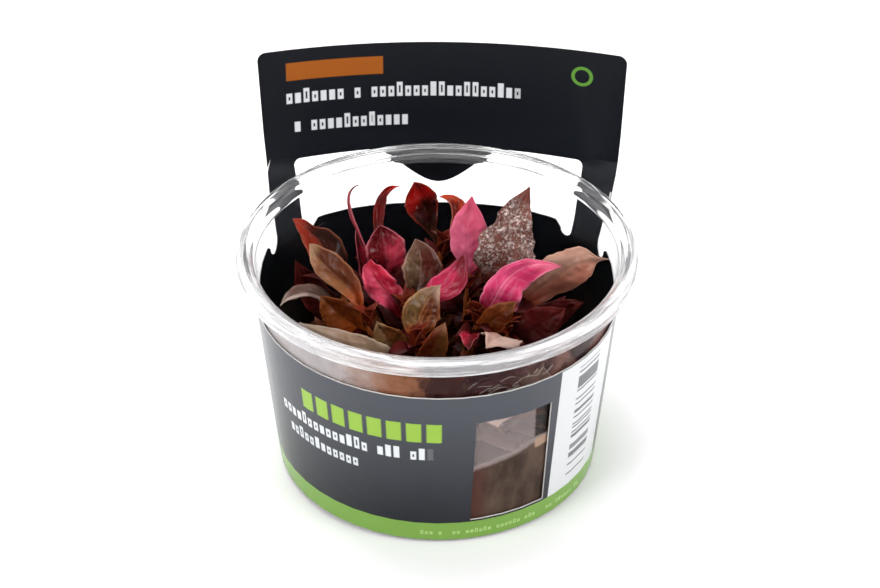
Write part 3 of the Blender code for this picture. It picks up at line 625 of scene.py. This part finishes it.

# A look's colours: at the base, on the left and right of the blade, at the tip, on the veins
# and in the blotches. Then how much it is wet (which also sets its painted glints), lets light through and shows
# its veins.
looks = {
    "pinkTall": {"base": (0.13, 0.004, 0.010), "left": (0.70, 0.13, 0.23), "right": (0.64, 0.10, 0.19),
                 "tip": (0.58, 0.08, 0.15), "vein": (0.76, 0.24, 0.34), "blotch": (0.52, 0.05, 0.12),
                 "wet": 0.4, "through": 0.25, "veins": 0.25},
    "pinkWavy": {"base": (0.22, 0.006, 0.020), "left": (0.60, 0.055, 0.16), "right": (0.46, 0.022, 0.090),
                 "tip": (0.58, 0.10, 0.18), "vein": (0.86, 0.36, 0.48), "blotch": (0.36, 0.010, 0.055),
                 "wet": 0.6, "through": 0.2, "veins": 0.4},
    "pinkFront": {"base": (0.26, 0.008, 0.016), "left": (0.82, 0.085, 0.17), "right": (0.48, 0.014, 0.045),
                  "tip": (0.56, 0.03, 0.06), "vein": (0.86, 0.26, 0.36), "blotch": (0.40, 0.012, 0.035),
                  "wet": 0.9, "through": 0.25, "veins": 0.35},
    "pinkDiagonal": {"base": (0.52, 0.02, 0.07), "left": (0.44, 0.018, 0.070), "right": (0.30, 0.010, 0.035),
                     "tip": (0.10, 0.004, 0.008), "vein": (0.62, 0.10, 0.18), "blotch": (0.16, 0.004, 0.012),
                     "wet": 0.9, "through": 0.25, "veins": 0.35},
    "crimson": {"base": (0.18, 0.007, 0.012), "left": (0.12, 0.003, 0.006), "right": (0.34, 0.010, 0.030),
                "tip": (0.06, 0.002, 0.003), "vein": (0.60, 0.12, 0.16), "blotch": (0.05, 0.002, 0.003),
                "wet": 1.0, "through": 0.2, "veins": 0.25, "edge": 0.6},
    # painted highlight: the lighter pink of the right half stands for the leaf's gloss
    "shiny": {"base": (0.24, 0.008, 0.020), "left": (0.12, 0.002, 0.005), "right": (0.44, 0.030, 0.060),
              "tip": (0.09, 0.003, 0.005), "vein": (0.60, 0.14, 0.18), "blotch": (0.10, 0.003, 0.006),
              "wet": 1.3, "through": 0.2, "veins": 0.25, "edge": 0.6},
    "redTop": {"base": (0.10, 0.035, 0.020), "left": (0.014, 0.003, 0.002), "right": (0.012, 0.003, 0.002),
               "tip": (0.36, 0.006, 0.005), "vein": (0.26, 0.030, 0.016), "blotch": (0.06, 0.003, 0.002),
               "wet": 1.0, "through": 0.3, "veins": 0.1, "edge": 0.95, "tipStart": 0.60},
    "redArc": {"base": (0.06, 0.004, 0.003), "left": (0.14, 0.004, 0.003), "right": (0.10, 0.004, 0.003),
               "tip": (0.50, 0.008, 0.006), "vein": (0.30, 0.02, 0.015), "blotch": (0.05, 0.002, 0.002),
               "wet": 0.8, "through": 0.35, "veins": 0.1, "tipStart": 0.6},
    "orange": {"base": (0.03, 0.004, 0.003), "left": (0.16, 0.010, 0.006), "right": (0.52, 0.045, 0.014),
               "tip": (0.62, 0.07, 0.02), "vein": (0.66, 0.20, 0.12), "blotch": (0.10, 0.008, 0.004),
               "wet": 0.8, "through": 0.35, "veins": 0.1, "edge": 0.7},
    "rust": {"base": (0.012, 0.003, 0.002), "left": (0.20, 0.016, 0.006), "right": (0.018, 0.004, 0.002),
             "tip": (0.26, 0.022, 0.008), "vein": (0.34, 0.10, 0.05), "blotch": (0.05, 0.006, 0.003),
             "wet": 0.7, "through": 0.3, "veins": 0.1, "edge": 0.4, "tipStart": 0.66},
    "spear": {"base": (0.42, 0.060, 0.010), "left": (0.18, 0.068, 0.026), "right": (0.070, 0.014, 0.004),
              "tip": (0.24, 0.13, 0.07), "vein": (0.36, 0.15, 0.07), "blotch": (0.09, 0.024, 0.008),
              "wet": 0.6, "through": 0.15, "veins": 0.3, "edge": 0.5},
    "long": {"base": (0.26, 0.050, 0.026), "left": (0.40, 0.22, 0.16), "right": (0.30, 0.105, 0.068),
             "tip": (0.38, 0.22, 0.16), "vein": (0.50, 0.27, 0.20), "blotch": (0.20, 0.055, 0.030),
             "wet": 0.7, "through": 0.15, "veins": 0.25},
    # a crinkled brown leaf whose pale flecks are painted sparkle highlights
    "bumpyPaintedSparkle": {"base": (0.10, 0.014, 0.009), "left": (0.15, 0.050, 0.036), "right": (0.17, 0.055, 0.040),
               "tip": (0.10, 0.020, 0.012), "vein": (0.20, 0.06, 0.04), "blotch": (0.07, 0.018, 0.012),
               "wet": 1.0, "through": 0.10, "veins": 0.1, "bump_and_painted_sparkle": 1},
    "amber": {"base": (0.30, 0.055, 0.008), "left": (0.16, 0.036, 0.008), "right": (0.08, 0.014, 0.003),
              "tip": (0.15, 0.05, 0.015), "vein": (0.26, 0.08, 0.02), "blotch": (0.04, 0.008, 0.002),
              "wet": 0.3, "through": 0.2, "veins": 0.35},
    "olive": {"base": (0.26, 0.060, 0.012), "left": (0.16, 0.085, 0.030), "right": (0.14, 0.042, 0.012),
              "tip": (0.20, 0.11, 0.055), "vein": (0.26, 0.10, 0.03), "blotch": (0.06, 0.022, 0.006),
              "wet": 0.6, "through": 0.15, "veins": 0.3},
    "oliveMid": {"base": (0.04, 0.010, 0.004), "left": (0.11, 0.058, 0.030), "right": (0.060, 0.007, 0.004),
                 "tip": (0.15, 0.07, 0.045), "vein": (0.34, 0.20, 0.16), "blotch": (0.040, 0.014, 0.005),
                 "wet": 1.0, "through": 0.15, "veins": 0.2, "edge": 0.6},
    "streaky": {"base": (0.32, 0.06, 0.008), "left": (0.14, 0.080, 0.030), "right": (0.080, 0.014, 0.003),
                "tip": (0.34, 0.22, 0.16), "vein": (0.46, 0.17, 0.06), "blotch": (0.045, 0.012, 0.003),
                "wet": 1.0, "through": 0.15, "veins": 0.6},
    "oliveFront": {"base": (0.24, 0.035, 0.006), "left": (0.085, 0.012, 0.003), "right": (0.090, 0.032, 0.008),
                   "tip": (0.20, 0.08, 0.04), "vein": (0.32, 0.07, 0.015), "blotch": (0.040, 0.008, 0.002),
                   "wet": 0.6, "through": 0.15, "veins": 0.4},
    "tan": {"base": (0.20, 0.07, 0.03), "left": (0.42, 0.33, 0.25), "right": (0.30, 0.20, 0.13),
            "tip": (0.34, 0.26, 0.21), "vein": (0.48, 0.39, 0.31), "blotch": (0.14, 0.070, 0.038),
            "wet": 0.7, "through": 0.2, "veins": 0.3},
    "grey": {"base": (0.08, 0.03, 0.022), "left": (0.34, 0.25, 0.21), "right": (0.16, 0.09, 0.07),
             "tip": (0.40, 0.31, 0.27), "vein": (0.10, 0.04, 0.03), "blotch": (0.08, 0.035, 0.028),
             "wet": 0.8, "through": 0.15, "veins": 0.7},
    "beige": {"base": (0.34, 0.03, 0.03), "left": (0.52, 0.36, 0.30), "right": (0.44, 0.27, 0.22),
              "tip": (0.40, 0.24, 0.19), "vein": (0.60, 0.44, 0.38), "blotch": (0.20, 0.07, 0.05),
              "wet": 0.7, "through": 0.2, "veins": 0.4},
    "window": {"base": (0.40, 0.18, 0.11), "left": (0.80, 0.62, 0.58), "right": (0.72, 0.50, 0.44),
               "tip": (0.85, 0.68, 0.62), "vein": (0.46, 0.26, 0.18), "blotch": (0.46, 0.26, 0.18),
               "wet": 0.3, "through": 0.5, "veins": 0.3},
    "dark": {"base": (0.018, 0.002, 0.0015), "left": (0.065, 0.005, 0.005), "right": (0.040, 0.003, 0.003),
             "tip": (0.080, 0.008, 0.006), "vein": (0.08, 0.010, 0.007), "blotch": (0.022, 0.002, 0.001),
             "wet": 0.1, "through": 0.2, "veins": 0.2},
    "low": {"base": (0.08, 0.016, 0.006), "left": (0.14, 0.040, 0.014), "right": (0.10, 0.014, 0.006),
            "tip": (0.15, 0.045, 0.020), "vein": (0.14, 0.04, 0.015), "blotch": (0.05, 0.010, 0.004),
            "wet": 0.2, "through": 0.2, "veins": 0.2},
    "shoot": {"base": (0.34, 0.045, 0.014), "left": (0.17, 0.024, 0.010), "right": (0.11, 0.010, 0.005),
              "tip": (0.12, 0.016, 0.008), "vein": (0.24, 0.05, 0.015), "blotch": (0.08, 0.008, 0.004),
              "wet": 0.4, "through": 0.2, "veins": 0.2},
}
# A leaf's own shape, where it differs from these: belly is the widest place, sway bends the midrib
# sideways, twist turns the blade towards its tip, curl bends the last third towards the upper side
# (degrees), drawn makes the tip a thread, and each dent is (side, place, spread, depth).
plainShape = {"belly": 0.44, "left": 1.0, "right": 1.0, "fold": 14, "sway": 0, "twist": 0, "curl": 0,
              "drawn": 0, "wave": 0.0004, "waves": 2.0, "dents": ()}
leafShapes = {
    "tan_rim": {"look": "tan", "wave": 0.0009, "curl": 12, "fold": 10, "left": 0.72, "right": 0.8},
    "grey_curl": {"look": "grey", "fold": 26, "curl": -25, "wave": 0.0004, "left": 0.8, "right": 0.8},
    "amber_short": {"look": "amber", "curl": 25, "fold": 22, "wave": 0.0005},
    "brown_spear": {"look": "spear", "belly": 0.58, "left": 0.68, "right": 0.95, "fold": 24, "sway": 0.0009,
                    "curl": -18, "wave": 0.0007, "waves": 1.6},
    "rust_back": {"look": "rust", "belly": 0.5, "fold": 24, "curl": -30, "left": 1.1,
                  "dents": ((1, 0.78, 0.10, 0.35),)},
    "maroon_left": {"look": "dark"},
    "pink_thread": {"look": "crimson", "curl": 60, "belly": 0.34, "drawn": 1, "wave": 0.0001},
    "crimson_narrow": {"look": "crimson", "wave": 0.0002},
    "crimson_shiny": {"look": "shiny", "belly": 0.58, "curl": 60, "wave": 0.0008, "fold": 12},
    "pink_front": {"look": "pinkFront", "belly": 0.52, "fold": 14, "wave": 0.0013, "waves": 2.6, "curl": 30,
                   "sway": 0.0008, "left": 0.85, "right": 0.9, "dents": ((1, 0.44, 0.06, 0.14), (-1, 0.70, 0.06, 0.12))},
    "olive_mid": {"look": "oliveMid", "belly": 0.52, "curl": 30, "wave": 0.0008, "waves": 1.3, "twist": 12},
    "pink_diagonal": {"look": "pinkDiagonal", "belly": 0.66, "sway": -0.0010, "twist": -25, "curl": 30},
    "red_top": {"look": "redTop", "belly": 0.68, "curl": 45, "fold": 34, "wave": 0.0005, "left": 1.25},
    "red_arc": {"look": "redArc", "curl": 20, "fold": 30, "left": 0.6, "right": 0.7},
    "small_orange": {"look": "orange", "curl": -35, "fold": 28},
    "pink_tall": {"look": "pinkTall", "belly": 0.56, "left": 0.9, "right": 1.12, "fold": 8, "wave": 0.0005,
                  "waves": 1.2, "curl": -12, "sway": 0.0004},
    "brown_wet": {"look": "bumpyPaintedSparkle", "belly": 0.40, "fold": 6, "wave": 0.0010, "waves": 2.2, "curl": -8,
                  "dents": ((-1, 0.66, 0.07, 0.30), (1, 0.46, 0.05, 0.12), (1, 0.28, 0.08, -0.10))},
    "pink_wavy": {"look": "pinkWavy", "belly": 0.40, "wave": 0.0013, "waves": 2.6, "fold": 10, "sway": 0.0010,
                  "left": 0.62, "right": 1.15,
                  "dents": ((1, 0.34, 0.05, 0.10), (1, 0.60, 0.04, 0.12), (-1, 0.62, 0.12, 0.2))},
    "brown_long": {"look": "long", "belly": 0.50, "drawn": 1, "wave": 0.0010, "waves": 1.6, "curl": -10,
                   "fold": 12, "sway": -0.0006},
    "brown_under": {"look": "amber"},
    "beige_front": {"look": "beige", "wave": 0.0007, "fold": 6},
    "crimson_front": {"look": "crimson"},
    "olive_front": {"look": "oliveFront", "belly": 0.5, "fold": 20},
    "streaky_green": {"look": "streaky", "belly": 0.5, "fold": 20, "wave": 0.0007, "curl": 15},
    "olive_left": {"look": "olive", "fold": 20},
    "maroon_mid": {"look": "dark"},
    "dark_red_right": {"look": "dark", "wave": 0.0006},
    "dark_right_edge": {"look": "dark"},
    "dark_centre": {"look": "dark"},
    "low_left": {"look": "low"},
    "low_back": {"look": "dark"},
    "low_back_left": {"look": "dark"},
    "low_right": {"look": "dark"},
    "low_front": {"look": "low"},
    "window_left": {"look": "window", "wave": 0.0007, "fold": 6},
    "window_middle": {"look": "window", "wave": 0.0007, "fold": 6},
    "window_right": {"look": "tan", "wave": 0.0006},
}
blade = {"across": 20, "along": 56, "thickness": 0.00030, "veins": 9, "relief": 0.00011, "narrowest": 0.035}


def leafPaint(name, look):
    finish = Finish(f"leaf_{name}")
    where = finish.place()
    u, v, _ = finish.split(finish.node("ShaderNodeUVMap", {"uv_map": "leaf"}))
    side = abs(u * 2 - 1)
    spots = finish.grain(where, 300, 4, 0.6)
    fine = finish.grain(where, 1500, 4, 0.6)
    cloud = finish.grain(where, 110, 2)
    lean = v * blade["veins"] - side * 1.6 + (spots - 0.5) * 0.5
    ridge = abs(lean - lean.call("FLOOR") - 0.5) * 2
    lateral = ridge.between(0.60, 1.0) * (1 - side.between(0.55, 0.90)) * side.between(0.02, 0.1)
    midrib = 1 - side.between(0.02, 0.09)
    drift = (cloud - 0.5) * 0.5
    colour = finish.mix(look["left"], look["right"], (u + drift * 0.4).between(0.35, 0.60))
    colour = finish.mix(colour, look["blotch"], (spots * 0.5 + cloud * 0.5).between(0.46, 0.66) * 0.75)
    lines = finish.node("ShaderNodeMapping", None, {
        "Vector": finish.node("ShaderNodeUVMap", {"uv_map": "leaf"}), "Scale": (9, 1.6, 1)})
    streak = finish.grain(lines, 1, 3, 0.6).between(0.50, 0.72)
    colour = finish.mix(colour, look["vein"], streak * (look["veins"] * 0.8))
    colour = finish.mix(look["base"], colour, (v + drift).between(0.08, 0.42))
    tipStart = look.get("tipStart", 0.72)
    colour = finish.mix(colour, look["tip"], (v + drift).between(tipStart, tipStart + 0.24))
    colour = finish.mix(colour, look["vein"], lateral * (look["veins"] * 0.18))
    colour = finish.mix(colour, look["vein"], midrib * (look["veins"] * 0.4 + 0.15))
    colour = finish.mix(colour, look["vein"], side.between(0.84, 0.97) * look.get("edge", 0.35))
    # painted highlight: pale glints mixed into the colour of wet leaves
    glints = finish.grain(lines, 3.2, 4, 0.65).between(0.58, 0.72) * spots.between(0.44, 0.62) * v.between(0.2, 0.4)
    colour = finish.mix(colour, (0.80, 0.64, 0.62), glints * max(0, look["wet"] - 0.5))
    height = fine * 0.5 + (1 - ridge) * 0.2 + spots * 0.9
    rough = spots * 0.35 + 0.26 - 0.12 * look["wet"]
    # painted sparkle: pale flecks over the crinkles stand for highlights, with real bumps and less roughness there
    if "bump_and_painted_sparkle" in look:
        clump = finish.grain(where, 380, 3)
        speck = finish.grain(where, 1250, 5, 0.75)
        reach = v.between(0.14, 0.30) * (1 - v.between(0.82, 0.92))
        reach = reach * (1 - u.between(0.50, 0.75) * (1 - v.between(0.24, 0.40)))
        bump_and_painted_sparkle = speck.between(0.44, 0.58) * clump.between(0.30, 0.50) * reach
        colour = finish.mix(colour, (0.64, 0.49, 0.45), bump_and_painted_sparkle * 0.85)
        height = height + bump_and_painted_sparkle * 2.0 + clump * 2
        rough = rough - bump_and_painted_sparkle * 0.16
    relief = finish.bump(height, 0.00016)
    skin = finish.skin(Base_Color=colour, Roughness=rough, IOR=1.17, Coat_Weight=look["wet"] * 0.20,
                       Coat_Roughness=0.08, Normal=relief)
    glow = finish.node("ShaderNodeBsdfTranslucent", None, {"Color": (*look["left"], 1), "Normal": relief})
    return finish.done(finish.node("ShaderNodeMixShader", None, {0: look["through"], 1: skin, 2: glow}))


def midribFrames(plan, shape):
    # (place, direction, upper side's direction) along a midrib, with its last third curled
    name, height, middle, tip, width, facing = plan
    axis, middle, tip = stemPoint(name, height), Vector(middle), Vector(tip)
    outward = Vector((middle.x - axis.x, middle.y - axis.y, 0)).normalized()
    base = axis + outward * (stem["radius"] + cup["gap"] + 0.00045)
    handle = 2 * middle - (base + tip) / 2
    frames, before = [], base
    for i in range(blade["along"] + 1):
        share = i / blade["along"]
        place = base * (1 - share) ** 2 + handle * 2 * share * (1 - share) + tip * share ** 2
        ahead = ((handle - base) * (1 - share) + (tip - handle) * share).normalized()
        normal = Vector(facing).normalized()
        normal = (normal - ahead * normal.dot(ahead)).normalized()
        turn = Matrix.Rotation(math.radians(shape["twist"]) * share, 3, ahead)
        side = turn @ ahead.cross(normal)
        bend = math.radians(shape["curl"]) * max(0, (share - 0.62) / 0.38) ** 1.6
        bend = Matrix.Rotation(bend, 3, side)
        swayed = place + side * shape["sway"] * math.sin(math.tau * share)
        start = frames[-1][0] if frames else swayed
        step = swayed - before if frames else Vector((0, 0, 0))
        frames.append((start + bend @ step, bend @ ahead, bend @ turn @ normal, share))
        before = swayed
    return axis, frames


def halfWidth(shape, share, sign, seed):
    # the blade's half width at a place, as a share of the leaf's own
    spread = share ** (math.log(0.5) / math.log(shape["belly"]))
    swell = max(0, math.sin(math.pi * spread)) ** 0.95
    if shape["drawn"]:
        swell *= 1 - 0.80 * smooth((share - 0.72) / 0.16)
    swell *= shape["left"] if sign < 0 else shape["right"]
    for side, centre, reach, depth in shape["dents"]:
        if side == sign:
            swell *= 1 - depth * math.exp(-((share - centre) / reach) ** 2)
    swell *= 1 + noise.noise(Vector((share * 8, sign * 3, seed))) * 0.13
    swell *= 1 + noise.noise(Vector((share * 28, sign * 5, seed + 9))) * 0.05
    return max(blade["narrowest"], swell)


def makeLeaf(name, plan, shape, seed):
    axis, frames = midribFrames(plan, shape)
    width = plan[4]
    sheet = bmesh.new()
    bmesh.ops.create_grid(sheet, x_segments=blade["across"], y_segments=blade["along"], size=1)
    layer = sheet.loops.layers.uv.new("leaf")
    for face in sheet.faces:
        face.smooth = True
        for loop in face.loops:
            loop[layer].uv = (loop.vert.co.x / 2 + 0.5, loop.vert.co.y / 2 + 0.5)
    fold = math.radians(shape["fold"])
    for vert in sheet.verts:
        u = vert.co.x
        sign = 1 if u > 0 else -1
        place, ahead, normal, share = frames[round((vert.co.y + 1) / 2 * blade["along"])]
        side = ahead.cross(normal)
        half = width / 2 * halfWidth(shape, share, sign, seed)
        phase = seed * 1.7 + (1.9 if u > 0 else 0)
        ripple = math.sin(math.tau * shape["waves"] * share + phase) * shape["wave"] * u * u
        lean = share * blade["veins"] - abs(u) * 1.6
        ridge = abs(lean - math.floor(lean) - 0.5) * 2
        quilt = -blade["relief"] * ridge ** 4 * min(1, abs(u) * 6) * (1 - abs(u) ** 3)
        groove = -blade["relief"] * 2 * math.exp(-(u / 0.08) ** 2)
        lump = noise.noise(Vector((u * 1.8, share * 5, seed * 3.1))) * width * 0.085
        lump += noise.noise(Vector((u * 4.5, share * 13, seed * 5.3))) * width * 0.022
        rise = (abs(u) ** 1.2 * math.sin(fold) - abs(u) ** 4 * 0.16) * half
        lift = rise + (ripple + quilt + groove + lump) * smooth(share * 5) * smooth((1 - share) * 5)
        vert.co = place + side * u * math.cos(fold) * half + normal * lift
        if share < 0.08:
            vert.co = vert.co.lerp(axis + (vert.co - place), (1 - share / 0.08) * 0.9)
    mesh = bpy.data.meshes.new(f"blade_{name}")
    sheet.to_mesh(mesh)
    sheet.free()
    holder = bpy.data.objects.new("leaf", mesh)
    bpy.context.scene.collection.objects.link(holder)
    solid = holder.modifiers.new("thickness", "SOLIDIFY")
    solid.thickness = blade["thickness"]
    solid.offset = 0
    result = evaluatedMesh(holder)
    bpy.data.objects.remove(holder)
    addPiece(f"blade_{name}", result, [leafMaterials[shape["look"]]], [f"leaf_{name}"])


# Small leaves: instances of one leaf, grown outwards from points on the stems and the gel

tufts = {
    "stem": {"count": 15, "low": 0.016, "high": 0.045, "Shortest": 0.0070, "Longest": 0.0130,
             "Lowest rise": 0.15, "Highest rise": 1.05, "Spread": 1.6, "Seed": 3},
    "gel": {"count": 60, "inner": 0.010, "outer": 0.030, "high": 0.034, "Shortest": 0.0080,
            "Longest": 0.0125, "Lowest rise": 0.3, "Highest rise": 1.25, "Spread": 1.0, "Seed": 8},
    "tip": {"count": 4, "Shortest": 0.0060, "Longest": 0.0095,
            "Lowest rise": 1.05, "Highest rise": 1.45, "Spread": 3.1, "Seed": 5},
}


def smallLeaf():
    # one leaf a metre long, along X from the origin, as a thin closed shell
    sheet = bmesh.new()
    bmesh.ops.create_grid(sheet, x_segments=6, y_segments=2, size=1)
    layer = sheet.loops.layers.uv.new("leaf")
    for face in sheet.faces:
        face.smooth = True
        for loop in face.loops:
            loop[layer].uv = (loop.vert.co.y / 2 + 0.5, loop.vert.co.x / 2 + 0.5)
    for vert in sheet.verts:
        share, u = (vert.co.x + 1) / 2, vert.co.y
        half = max(0.03, math.sin(math.pi * share ** 0.8)) * 0.24
        arch = 0.10 * math.sin(math.pi * share) - 0.16 * share ** 3
        vert.co = (share, u * half, arch + abs(u) * half * 0.35)
    mesh = bpy.data.meshes.new("small_leaf")
    sheet.to_mesh(mesh)
    sheet.free()
    holder = bpy.data.objects.new("small_leaf", mesh)
    bpy.context.scene.collection.objects.link(holder)
    solid = holder.modifiers.new("thickness", "SOLIDIFY")
    solid.thickness = 0.025
    return holder


def tuftTree():
    tree = bpy.data.node_groups.new("leaf_tufts", "GeometryNodeTree")
    kinds = {"Geometry": "NodeSocketGeometry", "Leaf": "NodeSocketObject", "Material": "NodeSocketMaterial",
             "Seed": "NodeSocketInt"}
    for name in ("Shortest", "Longest", "Lowest rise", "Highest rise", "Spread"):
        kinds[name] = "NodeSocketFloat"
    for name, kind in kinds.items():
        tree.interface.new_socket(name=name, in_out="INPUT", socket_type=kind)
    tree.interface.new_socket(name="Geometry", in_out="OUTPUT", socket_type="NodeSocketGeometry")
    bench = Bench(tree)
    given = {name: bench.node("NodeGroupInput", output=name) for name in kinds}

    def draw(low, high, number):
        # one random number for each point
        return bench.node("FunctionNodeRandomValue", {"data_type": "FLOAT"}, {
            2: low, 3: high, 8: given["Seed"] + number}, 1)

    x, y, _ = bench.split(bench.node("GeometryNodeInputPosition"))
    outward = y.call("ARCTAN2", x)
    turn = outward + draw(given["Spread"] * -1, given["Spread"], 0)
    rise = draw(given["Lowest rise"], given["Highest rise"], 1)
    rotation = bench.node("ShaderNodeCombineXYZ", None, {0: draw(-0.6, 0.6, 2), 1: rise * -1, 2: turn})
    shape = bench.node("GeometryNodeObjectInfo", None, {"Object": given["Leaf"]}, "Geometry")
    placed = bench.node("GeometryNodeInstanceOnPoints", None, {
        "Points": given["Geometry"], "Instance": shape, "Rotation": rotation,
        "Scale": draw(given["Shortest"], given["Longest"], 3)})
    solid = bench.node("GeometryNodeRealizeInstances", None, {0: placed})
    painted = bench.node("GeometryNodeSetMaterial", None, {0: solid, "Material": given["Material"]})
    bench.node("NodeGroupOutput", None, {0: painted})
    return tree


def growTuft(name, points, tree, values):
    mesh = bpy.data.meshes.new(name)
    mesh.from_pydata(points, [], [])
    holder = bpy.data.objects.new(name, mesh)
    bpy.context.scene.collection.objects.link(holder)
    grow = holder.modifiers.new("tufts", "NODES")
    grow.node_group = tree
    for item in tree.interface.items_tree:
        if item.in_out == "INPUT" and item.name in values:
            grow[item.identifier] = values[item.name]
    result = evaluatedMesh(holder)
    bpy.data.objects.remove(holder)
    result.materials.clear()
    addPiece(name, result, [values["Material"]])


def makeTufts():
    draw = random.Random(12)
    leaf, tree = smallLeaf(), tuftTree()
    places = {"stem": [], "gel": [], "tip": []}
    for name, (_, top) in stems.items():
        for i in range(tufts["stem"]["count"]):
            height = tufts["stem"]["low"] + (tufts["stem"]["high"] - tufts["stem"]["low"]) * i / 14
            places["stem"].append(stemPoint(name, height))
        places["tip"] += [stemPoint(name, top[2] - 0.0022)] * tufts["tip"]["count"]
    gel = tufts["gel"]
    for i in range(gel["count"]):
        turn = math.tau * i * 0.618
        radius = gel["inner"] + (gel["outer"] - gel["inner"]) * (i / gel["count"]) ** 0.6
        for share in (0.02, 0.25, 0.5, 0.75):
            height = cup["gelHeight"] + (gel["high"] - cup["gelHeight"]) * (share + draw.uniform(0, 0.2))
            places["gel"].append(Vector((radius * math.cos(turn), radius * math.sin(turn), height)))
    inks = {"stem": "dark", "gel": "low", "tip": "shoot"}
    for kind, points in places.items():
        values = {"Leaf": leaf, "Material": leafMaterials[inks[kind]], **tufts[kind]}
        growTuft(f"small_leaves_{kind}", points, tree, values)
    bpy.data.objects.remove(leaf)


# Roots: pale threads in the gel, and a few curled against the wall above the card

roots = {"perStem": 5, "radius": 0.00013, "steps": 14, "wallCount": 15, "wallHeight": 0.0485, "seed": 21}


def makeRoots():
    draw = random.Random(roots["seed"])
    paths = []
    for name in stems:
        foot = stemPoint(name, cup["gelHeight"])
        for _ in range(roots["perStem"]):
            heading = Vector((draw.uniform(-1, 1), draw.uniform(-1, 1), 0)).normalized()
            reach, sink = draw.uniform(0.004, 0.009), draw.uniform(0.006, 0.011)
            swirl = draw.uniform(0, 9)
            path = []
            for i in range(roots["steps"] + 1):
                share = i / roots["steps"]
                sway = Vector((math.sin(swirl + share * 7), math.cos(swirl + share * 6), 0)) * 0.0008 * share
                path.append((foot + heading * reach * share + sway - Vector((0, 0, sink * share ** 1.4)),
                             1.3 - share))
            paths.append(path)
    for i in range(roots["wallCount"]):
        turn = math.radians(10 + 26 * i / roots["wallCount"] + draw.uniform(-1, 1))
        height = roots["wallHeight"] + draw.uniform(-0.0008, 0.0024)
        swirl, size, drift = draw.uniform(0, 6), draw.uniform(0.0003, 0.0008), draw.uniform(0.04, 0.11)
        path = []
        for j in range(roots["steps"] + 1):
            share = j / roots["steps"]
            level = height + math.sin(swirl + share * 3.1) * size
            radius = wallRadius(level) - cup["wall"] - 0.0006 - 0.0008 * share
            angle = turn + share * drift + math.sin(swirl * 2 + share * 4.3) * 0.006
            path.append((Vector((radius * math.sin(angle), -radius * math.cos(angle), level)), 0.8))
        paths.append(path)
    finish = Finish("root")
    tint = finish.grain(finish.place(), 400, 3)
    material = finish.done(finish.skin(
        Base_Color=finish.mix((0.66, 0.56, 0.44), (0.82, 0.78, 0.70), tint), Roughness=0.4,
        Normal=finish.bump(tint, 0.00005)))
    addPiece("roots", tubeMesh(paths, roots["radius"]), [material])


makeCamera()
makeStudio()
print("studio ready")
makeCup()
makeGel()
print("cup and gel ready")
makeSleeve()
print("sleeve ready")
makeStems()
makeRoots()
print("stems and roots ready")
leafMaterials = {name: leafPaint(name, look) for name, look in looks.items()}
for seed, (name, plan) in enumerate(leafPlan.items()):
    makeLeaf(name, plan, {**plainShape, **leafShapes[name]}, seed)
print("leaves ready:", len(leafPlan))
makeTufts()
print("small leaves ready")
